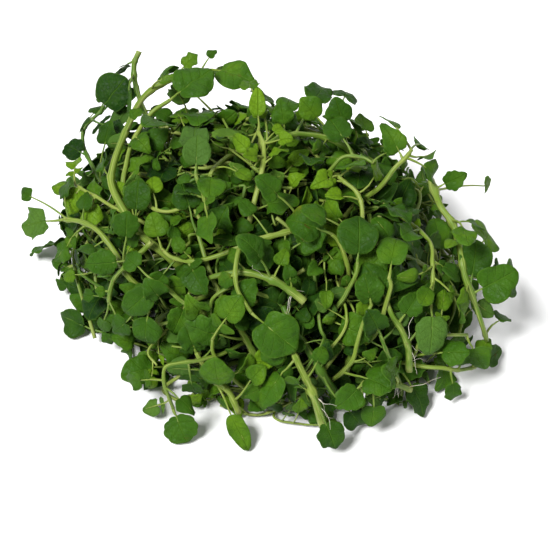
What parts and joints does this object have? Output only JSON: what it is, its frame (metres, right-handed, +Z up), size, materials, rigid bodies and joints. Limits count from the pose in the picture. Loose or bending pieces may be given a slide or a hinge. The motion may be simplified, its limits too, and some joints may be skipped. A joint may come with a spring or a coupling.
{
  "type": "bunch of watercress",
  "caption": "Loose heap of cut watercress lying on a surface: tangled bent stems with round, wavy-edged leaves and small side leaflets.",
  "frame": {"origin": "middle of the bunch's bounding box, at the height of the surface that it lies on", "axes": "+Z up, +Y away from the side the bunch is mostly seen from, +X to the right along its longer side"},
  "size_m": [0.2748, 0.2276, 0.1162],
  "materials": {
    "watercress_green": "satin, fresh mid-green leaves on pale green stems",
    "watercress_young": "satin, young yellow-green leaves and stems",
    "watercress_dark": "satin, full-grown dark green leaves on green stems"
  },
  "bodies": {
    "root": {"arch_thick": "watercress_green", "arch_bright": "watercress_green", "left_loop": "watercress_dark", "upright_end": "watercress_dark", "left_arch": "watercress_green", "left_branch": "watercress_green", "left_yellow": "watercress_young", "left_low": "watercress_green", "thin_arc": "watercress_young", "centre_bar": "watercress_green", "cut_bar": "watercress_green", "centre_hook": "watercress_green", "centre_drop": "watercress_green", "front_kink": "watercress_green", "front_lobed": "watercress_green", "front_low": "watercress_green", "front_thick": "watercress_green", "front_dark": "watercress_dark", "right_cut": "watercress_green", "right_bow": "watercress_green", "right_cut_low": "watercress_green", "right_long": "watercress_green", "right_front": "watercress_green", "right_upright": "watercress_green", "bright_stalk": "watercress_green", "right_curl": "watercress_dark", "far_arc": "watercress_green", "right_fork": "watercress_young", "yellow_tip": "watercress_young", "crown": "watercress_green", "right_top": "watercress_green", "round_leaf": "watercress_green", "oval_leaf": "watercress_green", "spotted_leaf": "watercress_green", "pale_leaf": "watercress_green", "folded_leaf": "watercress_green", "base_01": "watercress_green", "base_02": "watercress_green", "base_03": "watercress_green", "base_04": "watercress_green", "base_05": "watercress_green", "base_06": "watercress_green", "base_07": "watercress_green", "base_08": "watercress_green", "base_09": "watercress_green", "side_01": "watercress_green", "side_02": "watercress_green", "side_03": "watercress_green", "side_04": "watercress_green", "side_05": "watercress_green", "side_06": "watercress_green", "side_07": "watercress_green", "side_08": "watercress_green", "side_09": "watercress_green", "side_10": "watercress_green", "inner_01": "watercress_green", "inner_02": "watercress_green", "inner_03": "watercress_green", "inner_04": "watercress_green"}
  },
  "joints": []
}
